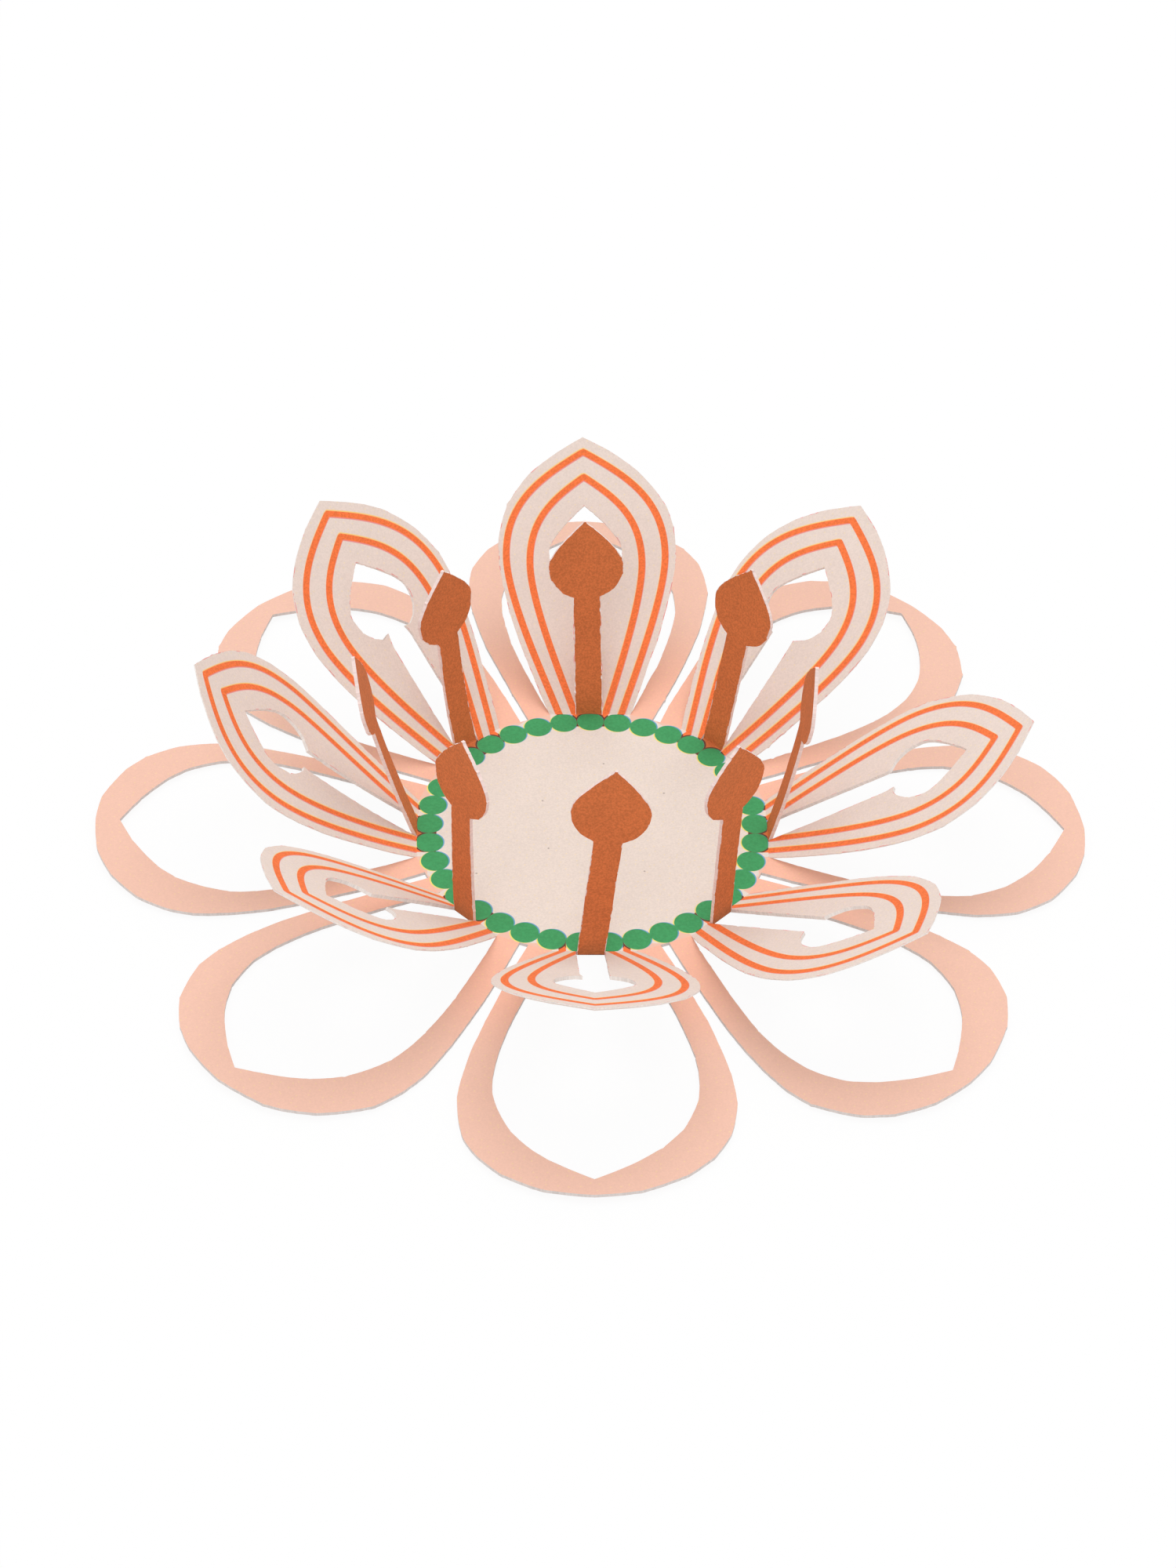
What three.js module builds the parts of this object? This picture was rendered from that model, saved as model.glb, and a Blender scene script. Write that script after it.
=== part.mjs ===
// Paper flower card: one sheet of printed card, cut and folded by hand.
// A flat disc carries eight flat loops. The petals were cut from inside the loops and folded up at
// the rim of the disc, and the stamens were cut from inside the petals and folded up more steeply.
// Millimetres, +Z up. The origin is on the underside of the disc, at its middle. +Y points at the
// back petal, and the sectors follow it clockwise, seen from above.

import * as THREE from 'three';

// The sheet
const CARD_THICKNESS = 0.29;
const CREASE_RADIUS = 0.5; // of the underside, at the root of every petal and stamen
const CUT_GAP = 0.15; // width of a knife cut

// The disc and its sectors
const SECTOR_COUNT = 8;
const FOLD_RADIUS = 14.4; // from the middle to the fold line of each sector

// Petal, measured outwards from the fold line
const PETAL_LENGTH = 24.6;
const PETAL_WIDTH = 15.8;
const PETAL_WIDEST_AT = 14.6;
const PETAL_ROOT_WIDTH = 6.8;

// Stamen, measured outwards from the fold line
const STAMEN_LENGTH = 18.5;
const STEM_WIDTH = 2.24;
const NECK_AT = 11.6; // where the stem meets the head
const HEAD_WIDTH = 6.3;
const HEAD_WIDEST_AT = 14.5;
const STAMEN_TIP_WIDTH = 0.24; // the point is cut a little blunt

// Loop, measured outwards from the fold line
const LOOP_LENGTH = 26.1;
const LOOP_WIDTH = 21.2;
const LOOP_WIDEST_AT = 17.2;
const SLIT_WIDTH = 0.75; // between neighbouring loops, at the disc
const SLIT_DEPTH = 0.7; // how far the slits run inside the fold line

// Run of each outline as shares of its own length and swell: how it leaves the root, how upright it
// arrives at its widest place, how high its shoulder stays, and how it comes to its point.
const PETAL_SHAPE = { leave: [0.41, 0.31], arrive: 0.27, shoulder: 0.52, point: [0.54, 0.22] };
const HEAD_SHAPE = { leave: [0.65, 0.2], arrive: 0.5, shoulder: 0.27, point: [0.41, 0.3] };
const LOOP_SHAPE = { leave: [0.51, 0.37], arrive: 0.26, shoulder: 0.58, point: [0.54, 0] };

// How each flap was left standing, in degrees, clockwise from the back: the tilt of its root above
// the table, its curl from root to tip, its lean to the right and its twist to the right.
const PETAL_SET = [
  { tilt: 38, curl: 3.5, lean: -1.5, twist: 0 },
  { tilt: 31, curl: 7, lean: -4.5, twist: 2 },
  { tilt: 30.5, curl: 2, lean: 2.5, twist: 3 },
  { tilt: 30, curl: 2.5, lean: 1, twist: -1.5 },
  { tilt: 35.5, curl: -1.5, lean: 1, twist: 2.5 },
  { tilt: 40, curl: -3.5, lean: 1.5, twist: 2.5 },
  { tilt: 34.5, curl: 19, lean: 2.5, twist: 2.5 },
  { tilt: 41.5, curl: 5.5, lean: -1, twist: 0 },
];
const STAMEN_SET = [
  { tilt: 79, curl: -3.5, lean: -2, twist: -4.5 },
  { tilt: 80, curl: 0.5, lean: 2, twist: 1.5 },
  { tilt: 76, curl: 9.5, lean: 1.5, twist: -1 },
  { tilt: 90, curl: -2, lean: -1.5, twist: 3.5 },
  { tilt: 98, curl: -5, lean: -4.5, twist: 1.5 },
  { tilt: 89, curl: 5.5, lean: 1.5, twist: 6 },
  { tilt: 71, curl: 8.5, lean: 3.5, twist: -2 },
  { tilt: 75, curl: 16, lean: -1.5, twist: -5 },
];
const LEAN_RUN = 6; // a lean comes in over this length from the root

// Facets
const BEND_STEPS = 3;
const STEM_STEPS = 6;
const NECK_STEPS = 3;
const CROWN_STEPS = 6;
const LOOP_SIDE_STEPS = 9;
const LOOP_CROWN_STEPS = 8;
const FLAP_CELLS = 2; // across a petal's leg or a stamen
const LOOP_CELLS = 1;

const SECTOR_ANGLE = (2 * Math.PI) / SECTOR_COUNT;

// A sheet of card: points on its underside, the same points on its printed side, and triangles
// between them that run anticlockwise seen from the printed side.
class CardSheet {
  constructor(thickness) {
    this.thickness = thickness;
    this.under = [];
    this.upper = [];
    this.faces = [];
  }

  addPoint({ point, normal }) {
    this.under.push(point);
    this.upper.push(point.clone().addScaledVector(normal, this.thickness));
    return this.under.length - 1;
  }

  // Rows of points side by side, with each row running to the left of the way the rows follow.
  addStrip(rows) {
    for (let i = 1; i < rows.length; i += 1) {
      const last = rows[i - 1];
      const next = rows[i];
      for (let j = 1; j < last.length; j += 1) {
        this.faces.push([last[j - 1], next[j - 1], next[j]]);
        this.faces.push([last[j - 1], next[j], last[j]]);
      }
    }
  }

  // Triangles from a middle point to a rim that is given clockwise.
  addFan(middle, rim) {
    rim.forEach((point, i) => this.faces.push([middle, rim[(i + 1) % rim.length], point]));
  }

  // The closed solid: both sides, and a wall along every edge that only one triangle has.
  toGeometry() {
    const count = this.under.length;
    const edges = new Set();
    const index = [];
    for (const [a, b, c] of this.faces) {
      index.push(a + count, b + count, c + count, c, b, a);
      edges.add(`${a} ${b}`).add(`${b} ${c}`).add(`${c} ${a}`);
    }
    for (const edge of edges) {
      const [a, b] = edge.split(' ').map(Number);
      if (!edges.has(`${b} ${a}`)) {
        index.push(a, b, b + count, a, b + count, a + count);
      }
    }
    const geometry = new THREE.BufferGeometry().setFromPoints([...this.under, ...this.upper]);
    geometry.setIndex(index);
    geometry.computeVertexNormals();
    return geometry;
  }
}

// A place on the flat pattern of one sector: t to the right of its middle line, s outwards from
// its fold line.
const flat = (t, s) => new THREE.Vector2(t, s);

// The right half of a leaf outline, from its root to its tip on the middle line, as two curves that
// meet at the widest place.
function leafCurves(root, widest, tipAt, shape) {
  const swell = widest.x - root.x;
  const rise = widest.y - root.y;
  const crown = tipAt - widest.y;
  const leave = flat(root.x + shape.leave[0] * swell, root.y + shape.leave[1] * rise);
  const arrive = flat(widest.x, widest.y - shape.arrive * rise);
  const shoulder = flat(widest.x, widest.y + shape.shoulder * crown);
  const point = flat(shape.point[0] * widest.x, tipAt - shape.point[1] * crown);
  return {
    side: new THREE.CubicBezierCurve(root, leave, arrive, widest),
    crown: new THREE.CubicBezierCurve(widest, shoulder, point, flat(0, tipAt)),
  };
}

// Points along a curve after its start.
const steps = (curve, count) => curve.getPoints(count).slice(1);

// A half outline moved sideways, away from the middle line. Its ends stay on the fold line and on
// the middle line.
function offsetOutline(points, distance) {
  const end = points.length - 1;
  return points.map((place, i) => {
    if (i === 0) {
      return flat(place.x + distance, place.y);
    }
    if (i === end) {
      return flat(place.x, place.y + distance);
    }
    const along = points[i + 1].clone().sub(points[i - 1]).normalize();
    return flat(place.x + along.y * distance, place.y - along.x * distance);
  });
}

const petalCurves = leafCurves(
  flat(PETAL_ROOT_WIDTH / 2, 0),
  flat(PETAL_WIDTH / 2, PETAL_WIDEST_AT),
  PETAL_LENGTH,
  PETAL_SHAPE,
);
const headCurves = leafCurves(
  flat(STEM_WIDTH / 2, NECK_AT),
  flat(HEAD_WIDTH / 2, HEAD_WIDEST_AT),
  STAMEN_LENGTH,
  HEAD_SHAPE,
);
const loopRoot = flat(
  (FOLD_RADIUS - SLIT_DEPTH) * Math.tan(SECTOR_ANGLE / 2) - SLIT_WIDTH / 2 / Math.cos(SECTOR_ANGLE / 2),
  -SLIT_DEPTH,
);
const loopCurves = leafCurves(loopRoot, flat(LOOP_WIDTH / 2, LOOP_WIDEST_AT), LOOP_LENGTH, LOOP_SHAPE);

// Half outlines with as many points on either side of a petal's leg or a loop's band.
const stemLine = new THREE.LineCurve(flat(STEM_WIDTH / 2, 0), flat(STEM_WIDTH / 2, NECK_AT));
const stamenOutline = [
  ...stemLine.getPoints(STEM_STEPS),
  ...steps(headCurves.side, NECK_STEPS),
  ...steps(headCurves.crown, CROWN_STEPS),
];
const petalOutline = [
  ...petalCurves.side.getPoints(STEM_STEPS + NECK_STEPS),
  ...steps(petalCurves.crown, CROWN_STEPS),
];
const holeOutline = [
  ...petalCurves.side.getPoints(LOOP_SIDE_STEPS),
  ...steps(petalCurves.crown, LOOP_CROWN_STEPS),
];
const loopOutline = [
  ...loopCurves.side.getPoints(LOOP_SIDE_STEPS),
  ...steps(loopCurves.crown, LOOP_CROWN_STEPS),
];

// Stations across a half band, from its root to the middle line, each with its two edges.
const pairs = (inner, outer) => inner.map((place, i) => [place, outer[i]]);
const loopStations = pairs(offsetOutline(holeOutline, CUT_GAP / 2), loopOutline);
const petalStations = pairs(
  offsetOutline(stamenOutline, CUT_GAP / 2),
  offsetOutline(petalOutline, -CUT_GAP / 2),
);
const stamenStations = offsetOutline(stamenOutline, -CUT_GAP / 2).map((place) => {
  const half = Math.max(place.x, STAMEN_TIP_WIDTH / 2);
  return [flat(half, place.y), flat(-half, place.y)];
});

// The place and the printed side's direction of a point that stays flat on the table.
function lying({ x: t, y: s }) {
  return {
    point: new THREE.Vector3(t, FOLD_RADIUS + s, 0),
    normal: new THREE.Vector3(0, 0, 1),
  };
}

// The same for a point on a flap that is folded up at its root, with a round crease there.
function folded({ x: t, y: s }, set, length) {
  const { tilt, curl, lean, twist } = set;
  const tiltAngle = THREE.MathUtils.degToRad(tilt);
  const leanAngle = THREE.MathUtils.degToRad(lean);
  const sideways = leanAngle * Math.min(1, s / LEAN_RUN);
  const roll = THREE.MathUtils.degToRad(twist) * (s / length);
  const reach = s * Math.cos(leanAngle) - t * Math.sin(sideways) * Math.cos(roll);
  const across = s * Math.sin(leanAngle) + t * Math.cos(sideways) * Math.cos(roll);

  const bent = THREE.MathUtils.clamp(reach / CREASE_RADIUS, 0, tiltAngle);
  const run = reach - bent * CREASE_RADIUS;
  const halfCurl = (THREE.MathUtils.degToRad(curl) * run) / length / 2;
  const chord = halfCurl === 0 ? run : (run * Math.sin(halfCurl)) / halfCurl;
  const chordAngle = bent + halfCurl;
  const slope = bent + 2 * halfCurl;
  const out = CREASE_RADIUS * Math.sin(bent) + chord * Math.cos(chordAngle);
  const up = CREASE_RADIUS * (1 - Math.cos(bent)) + chord * Math.sin(chordAngle);

  const face = new THREE.Vector3(0, -Math.sin(slope), Math.cos(slope));
  const side = new THREE.Vector3(1, 0, 0);
  return {
    point: new THREE.Vector3(across, FOLD_RADIUS + out, up).addScaledVector(face, t * Math.sin(roll)),
    normal: face.multiplyScalar(Math.cos(roll)).addScaledVector(side, -Math.sin(roll)),
  };
}

// Extra stations through the crease, so that it is round: the flap's edges there are straight.
function creaseStations(stations, set) {
  const bendRun = CREASE_RADIUS * THREE.MathUtils.degToRad(set.tilt);
  const [root, next] = stations;
  const station = (i) => root.map((place, j) => {
    const share = (bendRun * i) / BEND_STEPS / (next[j].y - place.y);
    return place.clone().lerp(next[j], share);
  });
  const bend = Array.from({ length: BEND_STEPS }, (unused, i) => station(i + 1));
  return [root, ...bend, ...stations.slice(1)];
}

const mirrored = (station) => station.map((place) => flat(-place.x, place.y));

// Evenly spaced places from one edge of a station to the other.
function across([from, to], cells) {
  return Array.from({ length: cells + 1 }, (unused, j) => from.clone().lerp(to, j / cells));
}

// One sector: a loop, the petal that was cut from it and the stamen that was cut from the petal.
// Returns its part of the disc's rim, clockwise.
function addSector(sheet, number) {
  const turn = new THREE.Matrix4().makeRotationZ(-number * SECTOR_ANGLE);
  const petalSet = PETAL_SET[number % PETAL_SET.length];
  const stamenSet = STAMEN_SET[number % STAMEN_SET.length];
  const onPetal = (place) => folded(place, petalSet, PETAL_LENGTH);
  const onStamen = (place) => folded(place, stamenSet, STAMEN_LENGTH);
  const addRow = (station, cells, place) => across(station, cells).map((spot) => {
    const { point, normal } = place(spot);
    return sheet.addPoint({ point: point.applyMatrix4(turn), normal: normal.transformDirection(turn) });
  });

  // A band that starts at the left root, goes round the tip and ends at the right root.
  const addBand = (stations, cells, place) => {
    const leftRoot = addRow(mirrored(stations[0]), cells, lying);
    const rightRoot = addRow(stations[0], cells, lying);
    const leftSide = stations.slice(1).map(mirrored);
    const rightSide = stations.slice(1, -1).reverse();
    const rows = [...leftSide, ...rightSide].map((station) => addRow(station, cells, place));
    sheet.addStrip([leftRoot, ...rows, rightRoot]);
    return { left: leftRoot.reverse(), right: rightRoot };
  };

  const loop = addBand(loopStations, LOOP_CELLS, lying);
  const petal = addBand(creaseStations(petalStations, petalSet), FLAP_CELLS, onPetal);
  const [stamenRoot, ...stamenRest] = creaseStations(stamenStations, stamenSet);
  const stamen = addRow(stamenRoot, FLAP_CELLS, lying);
  sheet.addStrip([stamen, ...stamenRest.map((station) => addRow(station, FLAP_CELLS, onStamen))]);
  return [...loop.left, ...petal.left, ...stamen.reverse(), ...petal.right, ...loop.right];
}

function flowerCard() {
  const sheet = new CardSheet(CARD_THICKNESS);
  const middle = sheet.addPoint(lying(flat(0, -FOLD_RADIUS)));
  const rim = Array.from({ length: SECTOR_COUNT }, (unused, number) => addSector(sheet, number)).flat();
  sheet.addFan(middle, rim);
  const card = new THREE.MeshStandardMaterial({ color: 0xe9d4c6, roughness: 0.8, metalness: 0 });
  const mesh = new THREE.Mesh(sheet.toGeometry(), card);
  mesh.name = 'flower_card';
  return mesh;
}

const group = new THREE.Group();
group.add(flowerCard());

export default group;
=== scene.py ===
import math

import bmesh
import bpy
import numpy as np
from mathutils import Matrix, Vector, noise


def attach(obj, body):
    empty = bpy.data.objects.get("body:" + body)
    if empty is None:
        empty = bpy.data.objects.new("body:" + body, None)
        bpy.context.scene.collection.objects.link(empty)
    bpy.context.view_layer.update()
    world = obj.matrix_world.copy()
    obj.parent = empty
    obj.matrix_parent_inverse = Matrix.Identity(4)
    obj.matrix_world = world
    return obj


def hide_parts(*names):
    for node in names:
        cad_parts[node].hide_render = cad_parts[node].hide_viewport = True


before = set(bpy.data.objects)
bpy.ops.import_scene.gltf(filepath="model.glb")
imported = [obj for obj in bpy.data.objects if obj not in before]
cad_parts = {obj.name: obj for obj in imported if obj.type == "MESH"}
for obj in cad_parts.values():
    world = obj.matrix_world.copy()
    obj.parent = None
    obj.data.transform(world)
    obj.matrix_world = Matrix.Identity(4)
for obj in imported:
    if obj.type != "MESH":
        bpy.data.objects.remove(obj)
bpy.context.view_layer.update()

bl_info = {
    "name": "Paper flower card",
    "version": (1, 0, 0),
    "blender": (4, 5, 0),
    "location": "View3D > Sidebar > Paper flower",
    "description": "Cuts, prints and folds a paper flower from one sheet of card",
    "category": "Add Mesh",
}

MM = 0.001
SECTORS = 8
SECTOR_ANGLE = 2 * math.pi / SECTORS
BEADS = 37

# How each flap was left standing, in degrees, clockwise from the back: tilt of its root above the
# table, curl from root to tip, lean to the right and twist to the right.
PETAL_SET = (
    (38, 3.5, -1.5, 0),
    (31, 7, -4.5, 2),
    (30.5, 2, 2.5, 3),
    (30, 2.5, 1, -1.5),
    (35.5, -1.5, 1, 2.5),
    (40, -3.5, 1.5, 2.5),
    (34.5, 19, 2.5, 2.5),
    (41.5, 5.5, -1, 0),
)
STAMEN_SET = (
    (79, -3.5, -2, -4.5),
    (80, 0.5, 1.6, 1.5),
    (76, 9.5, 1.5, -1),
    (90, -2, -1.5, 3.5),
    (98, -5, -4.5, 1.5),
    (89, 5.5, 1.5, 6),
    (71, 8.5, 3.5, -2),
    (75, 16, -0.7, -5),
)

# How far the knife missed the drawn outlines, in millimetres outwards, clockwise from the back: on
# the left, on the right and at the tip.
PETAL_SLIPS = (
    (-0.4, -0.15, -0.05),
    (-0.4, -0.05, 0.1),
    (-0.2, 0.1, -0.05),
    (-0.1, 0, 0),
    (0.1, -0.1, 0),
    (-0.25, 0, 0.1),
    (0.05, -0.05, -0.1),
    (0.05, -0.35, -0.1),
)
LOOP_SLIPS = (
    (-0.2, 0.15, 0.2),
    (0.1, 0.2, 0),
    (-0.1, -0.4, 0.1),
    (0.3, -0.1, 0.3),
    (0.2, -0.1, 0.1),
    (0.1, 0.1, 0.35),
    (0.1, -0.75, 0.4),
    (-0.3, -0.1, 0.2),
)
# How far the root of each stem was cut to the right of its middle line, in millimetres
STEM_SLIPS = (-0.1, -0.15, 0.3, 0.25, 0.35, 0, 0.15, -0.1)
# How far outside its fold line each stamen was creased, in millimetres
STEM_SETBACKS = (0, 0.3, 0, 0, 0, 0, 0, 0.3)
# How far the tip of each loop lies to the right of its middle line, in millimetres
LOOP_SWAY = (-0.3, 0, 0.5, 0.4, 0.35, 0.1, 0.6, -0.4)
# Burrs that the knife left at the corners of the petals' holes: sector, side and length in millimetres
BURRS = ((2, 1, 0.35), (4, 1, 0.35), (5, -1, 0.45), (6, -1, 0.25), (7, -1, 0.6), (7, 1, 0.3))

# Run of an outline as shares of its own length and swell: how it leaves the root, how upright it
# arrives at its widest place, how high its shoulder stays, how it comes to its point, and how much of
# its run the side takes up to the widest place.
PETAL_SHAPE = dict(leave=(0.41, 0.31), arrive=0.27, shoulder=0.52, point=(0.54, 0.22), side=0.6)
STRIPE_SHAPE = dict(leave=(0.4, 0.32), arrive=0.24, shoulder=0.53, point=(0.54, 0.24), side=0.6)
HEAD_SHAPE = dict(leave=(0.66, 0.17), arrive=0.5, shoulder=0.27, point=(0.41, 0.3), side=0.6)
LOOP_SHAPE = dict(leave=(0.51, 0.37), arrive=0.26, shoulder=0.58, point=(0.54, 0), side=0.56)

# Middle lines of a petal's stripes in millimetres: half width at the root, widest half width, and the
# distances of the widest place and the tip from the fold line
STRIPES = {"outer": (2.57, 6.84, 14.2, 23.25), "inner": (1.22, 4.82, 13.5, 21.05)}
# Where the stripes start, in millimetres from the fold line, and into how many steps they are cut
STRIPE_START = -2
STRIPE_STEPS = 80
# The way each ink of the stripes is shifted on the sheet
INKS = {"yellow": (-0.3, 1), "red": (0.3, -1)}

# How uneven a cut is: its steps in the noise, along the cut and from side to side, and its start there
UNEVEN = {
    "chords": (2.3, 4.7, 40),
    "stray": (1.7, 3.1, 0),
    "nicks": (3.7, 1.9, 60),
    "fibres": (70, 5.3, 20),
}
# How far the end of a chord is out of step, as a share of a chord
CHORD_SHIFT = 0.6
# How far the hand strays on a stamen, as a share of how far it strays on the wider outlines
STAMEN_CARE = 0.3
# How deep a nick is, in heights of a fibre, and how long, as a share of the cut
NICK_DEPTH = 7
NICK_SHARE = 0.012
# Share of a cut at its root and its tip over which the fibres come in
SMOOTH_SHARE = 0.05
# Length of a burr along the cut, as a share of it, and which way it points: sideways and outwards
BURR_SHARE = 0.02
BURR_WAY = (-0.6, 0.8)
# Power of the way along a loop with which it rises and sways
LOOP_SPRING = 1.5

# Stations from the root of a flap to its tip, and cells across it
HALF_STATIONS = 120
PETAL_CELLS = 10
LOOP_CELLS = 5
STAMEN_CELLS = 6
# Share of the stations below a stamen's neck, and how close they stand at the root, where 1 is even
NECK_SHARE = 0.4
ROOT_PACE = 0.3
# Step to either side of a place on an outline that shows its direction, as a share of the outline
DIRECTION_STEP = 0.004
# Where the ring of cells along the disc's rim starts, as a share of the way from the middle
RING_SHARE = 0.95
# Zones meet along a fold line where they are closer than this, in millimetres
JOIN_WITHIN = 0.002

# Zones of the sheet, which are also the order of its material slots
DISC, PETAL, LOOP, STAMEN = range(4)

# Grains of the card and its print: size of the blots in millimetres, detail, start in the noise, and
# how far to either side of the noise's middle they reach their full strength
GRAINS = {
    "toner": (0.16, 2, 0, 0.25),
    "wide": (2.6, 1, 11, 0.2),
    "bead": (0.22, 2, 3, 0.2),
    "cut": (0.9, 3, 17, 0.15),
    "crack": (0.35, 3, 23, 0.15),
    "tooth": (0.11, 3, 5, 0.2),
}
GRAIN_ROUGHNESS = 0.55
# The starts lie along this slant. The noise is cut this share of a blot above one of its own planes,
# because straight lines show in a plane itself.
GRAIN_SLANT = 0.7
GRAIN_SLICE = 0.4
# Strength of the wide blots, as a share of that of the toner
WIDE_STRENGTH = 0.15
# How soft printed edges are, in millimetres: those of stripes and beads, the sides of the flaps' print
# on the disc, and the line where that print starts
SOFT = 0.03
ROOT_SOFT = 0.04
FLAP_SOFT = 0.05
# How far inside the middles of the beads the flaps' print starts, in millimetres
FLAP_PRINT_INSIDE = 0.65
# Dark outline of a bead in millimetres: how far outside the bead its middle lies, and half its width
OUTLINE_OUT = 0.03
OUTLINE_HALF = 0.09
# Where the ink cracks on the reverse of a stamen, in millimetres from the fold line
CRACK_AT = 0.32
# Depth of the paper's tooth in millimetres, and how much it changes the roughness
TOOTH_DEPTH = 0.02
TOOTH_ROUGHNESS = 0.06
# How much the card shines
SHEEN = 0.25

# The camera that was fitted to the photo: lens in millimetres, shift in shares of the picture, distance
# from the middle of the disc in metres, and angles in degrees
CAMERA_SENSOR = 36
CAMERA_LENS = 81.32
CAMERA_SHIFT = (-0.00276, 0.0284)
CAMERA_DISTANCE = 0.29226
CAMERA_ELEVATION = 42.567
CAMERA_YAW = 1.419
CAMERA_ROLL = 1.046
CAMERA_CLIP = 0.01

# The floor: half its side in metres, how far under the card it lies in millimetres, its grey, and how
# much of it the camera sees as plain white
FLOOR_HALF = 4
FLOOR_UNDER = 0.01
FLOOR_GREY = 0.88
FLOOR_WHITE = 0.93
# Strength of the soft light from all round
ROOM_LIGHT = 0.78


def length_property(name, description, millimetres):
    return bpy.props.FloatProperty(
        name=name,
        description=description,
        default=millimetres * MM,
        min=0,
        precision=5,
        subtype="DISTANCE",
        unit="LENGTH",
    )


def colour_property(name, description, red, green, blue):
    return bpy.props.FloatVectorProperty(
        name=name,
        description=description,
        default=(red, green, blue),
        min=0,
        max=1,
        size=3,
        subtype="COLOR",
    )


class FlowerCardSizes(bpy.types.PropertyGroup):
    """Sizes of the flat pattern and of the card."""

    card_thickness: length_property("Card thickness", "Thickness of the sheet", 0.29)
    pressed_edge: length_property("Pressed edge", "Thickness that scissors left at a petal's rim", 0.1)
    crease_radius: length_property("Crease radius", "Radius of the underside at a fold", 0.38)
    cut_gap: length_property("Cut gap", "Width of a knife cut", 0.03)
    fold_radius: length_property("Fold radius", "From the middle to each fold line", 14.4)
    lean_run: length_property("Lean run", "Length from the root over which a lean comes in", 6)
    petal_length: length_property("Petal length", "From the fold line to the tip", 24.6)
    petal_width: length_property("Petal width", "At its widest place", 15.8)
    petal_widest_at: length_property("Petal widest at", "From the fold line", 14.6)
    petal_root_width: length_property("Petal root width", "Along the fold line", 6.8)
    stamen_length: length_property("Stamen length", "From the fold line to the tip", 18.5)
    stem_width: length_property("Stem width", "Below the head of a stamen", 2.24)
    neck_at: length_property("Neck at", "Where the stem meets the head", 11.6)
    head_width: length_property("Head width", "At its widest place", 6.25)
    head_widest_at: length_property("Head widest at", "From the fold line", 14.5)
    stamen_tip_width: length_property("Stamen tip width", "The point is cut a little blunt", 0.24)
    loop_length: length_property("Loop length", "From the fold line to the tip", 26.1)
    loop_width: length_property("Loop width", "At its widest place", 21.2)
    loop_widest_at: length_property("Loop widest at", "From the fold line", 17.2)
    loop_lift: length_property("Loop lift", "How far a loop's tip springs off the table", 0.5)
    slit_width: length_property("Slit width", "Between neighbouring loops, at the disc", 0.75)
    slit_depth: length_property("Slit depth", "How far a slit runs inside the fold line", 0.7)
    cut_wander: length_property("Cut wander", "How far the hand strays from the outline", 0.1)
    cut_fibre: length_property("Cut fibre", "How far torn fibres stand out of a cut", 0.025)
    bead_ring_radius: length_property("Bead ring radius", "From the middle to a bead", 13.5)
    bead_radius: length_property("Bead radius", "Radius of a printed bead", 1.18)
    stripe_width: length_property("Stripe width", "Width of a printed stripe", 0.6)
    print_shift: length_property("Print shift", "How far the inks miss each other", 0.05)
    speck_step: length_property("Speck step", "Between specks of yellow toner", 0.816)
    dust_step: length_property("Dust step", "Between dark specks", 7)
    sheet_span: length_property("Sheet span", "Side of the square that the print covers", 84)


class FlowerCardColours(bpy.types.PropertyGroup):
    """Colours of the print and of the bare card."""

    cream: colour_property("Cream", "Field of the disc", 0.77, 0.685, 0.615)
    petal_cream: colour_property("Petal cream", "Field of the petals", 0.77, 0.655, 0.59)
    deep_cream: colour_property("Deep cream", "Roots of the petals", 0.76, 0.6, 0.53)
    peach: colour_property("Peach", "Field of the loops", 0.83, 0.52, 0.41)
    # Painted shade: this deeper peach stands in for the petals' shade on the loops' roots
    peach_root_shade: colour_property("Deep peach", "Roots of the loops", 0.91, 0.47, 0.335)
    brown: colour_property("Brown", "Field of the stamens", 0.6, 0.165, 0.049)
    orange: colour_property("Orange", "Stripes, where both inks meet", 0.885, 0.185, 0.05)
    stripe_yellow: colour_property("Stripe yellow", "Stripe edge with yellow alone", 0.92, 0.6, 0.19)
    stripe_red: colour_property("Stripe red", "Stripe edge with red alone", 0.78, 0.28, 0.27)
    green: colour_property("Green", "Beads, where both inks meet", 0.053, 0.32, 0.112)
    bead_yellow: colour_property("Bead yellow", "Bead edge with yellow alone", 0.88, 0.74, 0.14)
    bead_blue: colour_property("Bead blue", "Bead edge with blue alone", 0.14, 0.36, 0.56)
    flaked: colour_property("Flaked", "Where brown ink has come off along a cut", 0.72, 0.58, 0.54)
    raw_card: colour_property("Raw card", "Cut edges of the sheet", 0.7, 0.63, 0.6)
    # Painted light: the same bare card as the raw edge, made lighter to stand in for light on the
    # petals' rims
    petal_edge_painted_light: colour_property("Petal edge", "Cut edges of the petals", 0.82, 0.74, 0.69)
    # Partly the pinkish tint of the stamens' cut edges, partly painted light that makes them lighter
    # than the raw card
    stamen_edge_tint_and_light: colour_property("Stamen edge", "Cut edges of the stamens", 0.84, 0.68, 0.64)
    dark_ink: colour_property("Dark ink", "Where inks overlap or a crease cracks", 0.12, 0.055, 0.035)
    speck: colour_property("Speck", "Specks of yellow toner", 0.9, 0.72, 0.25)
    dust: colour_property("Dust", "Dark specks on the disc", 0.33, 0.27, 0.23)


def sizes():
    return bpy.context.scene.flower_card_sizes


def colours():
    return bpy.context.scene.flower_card_colours


# The flat pattern. A place on one sector is (t, s): t to the right of the sector's middle line and
# s outwards from its fold line.


def bezier(start, leave, arrive, end, share):
    """A place on a cubic curve."""
    rest = 1 - share
    return (
        start * rest**3
        + leave * (3 * rest**2 * share)
        + arrive * (3 * rest * share**2)
        + end * share**3
    )


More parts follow.
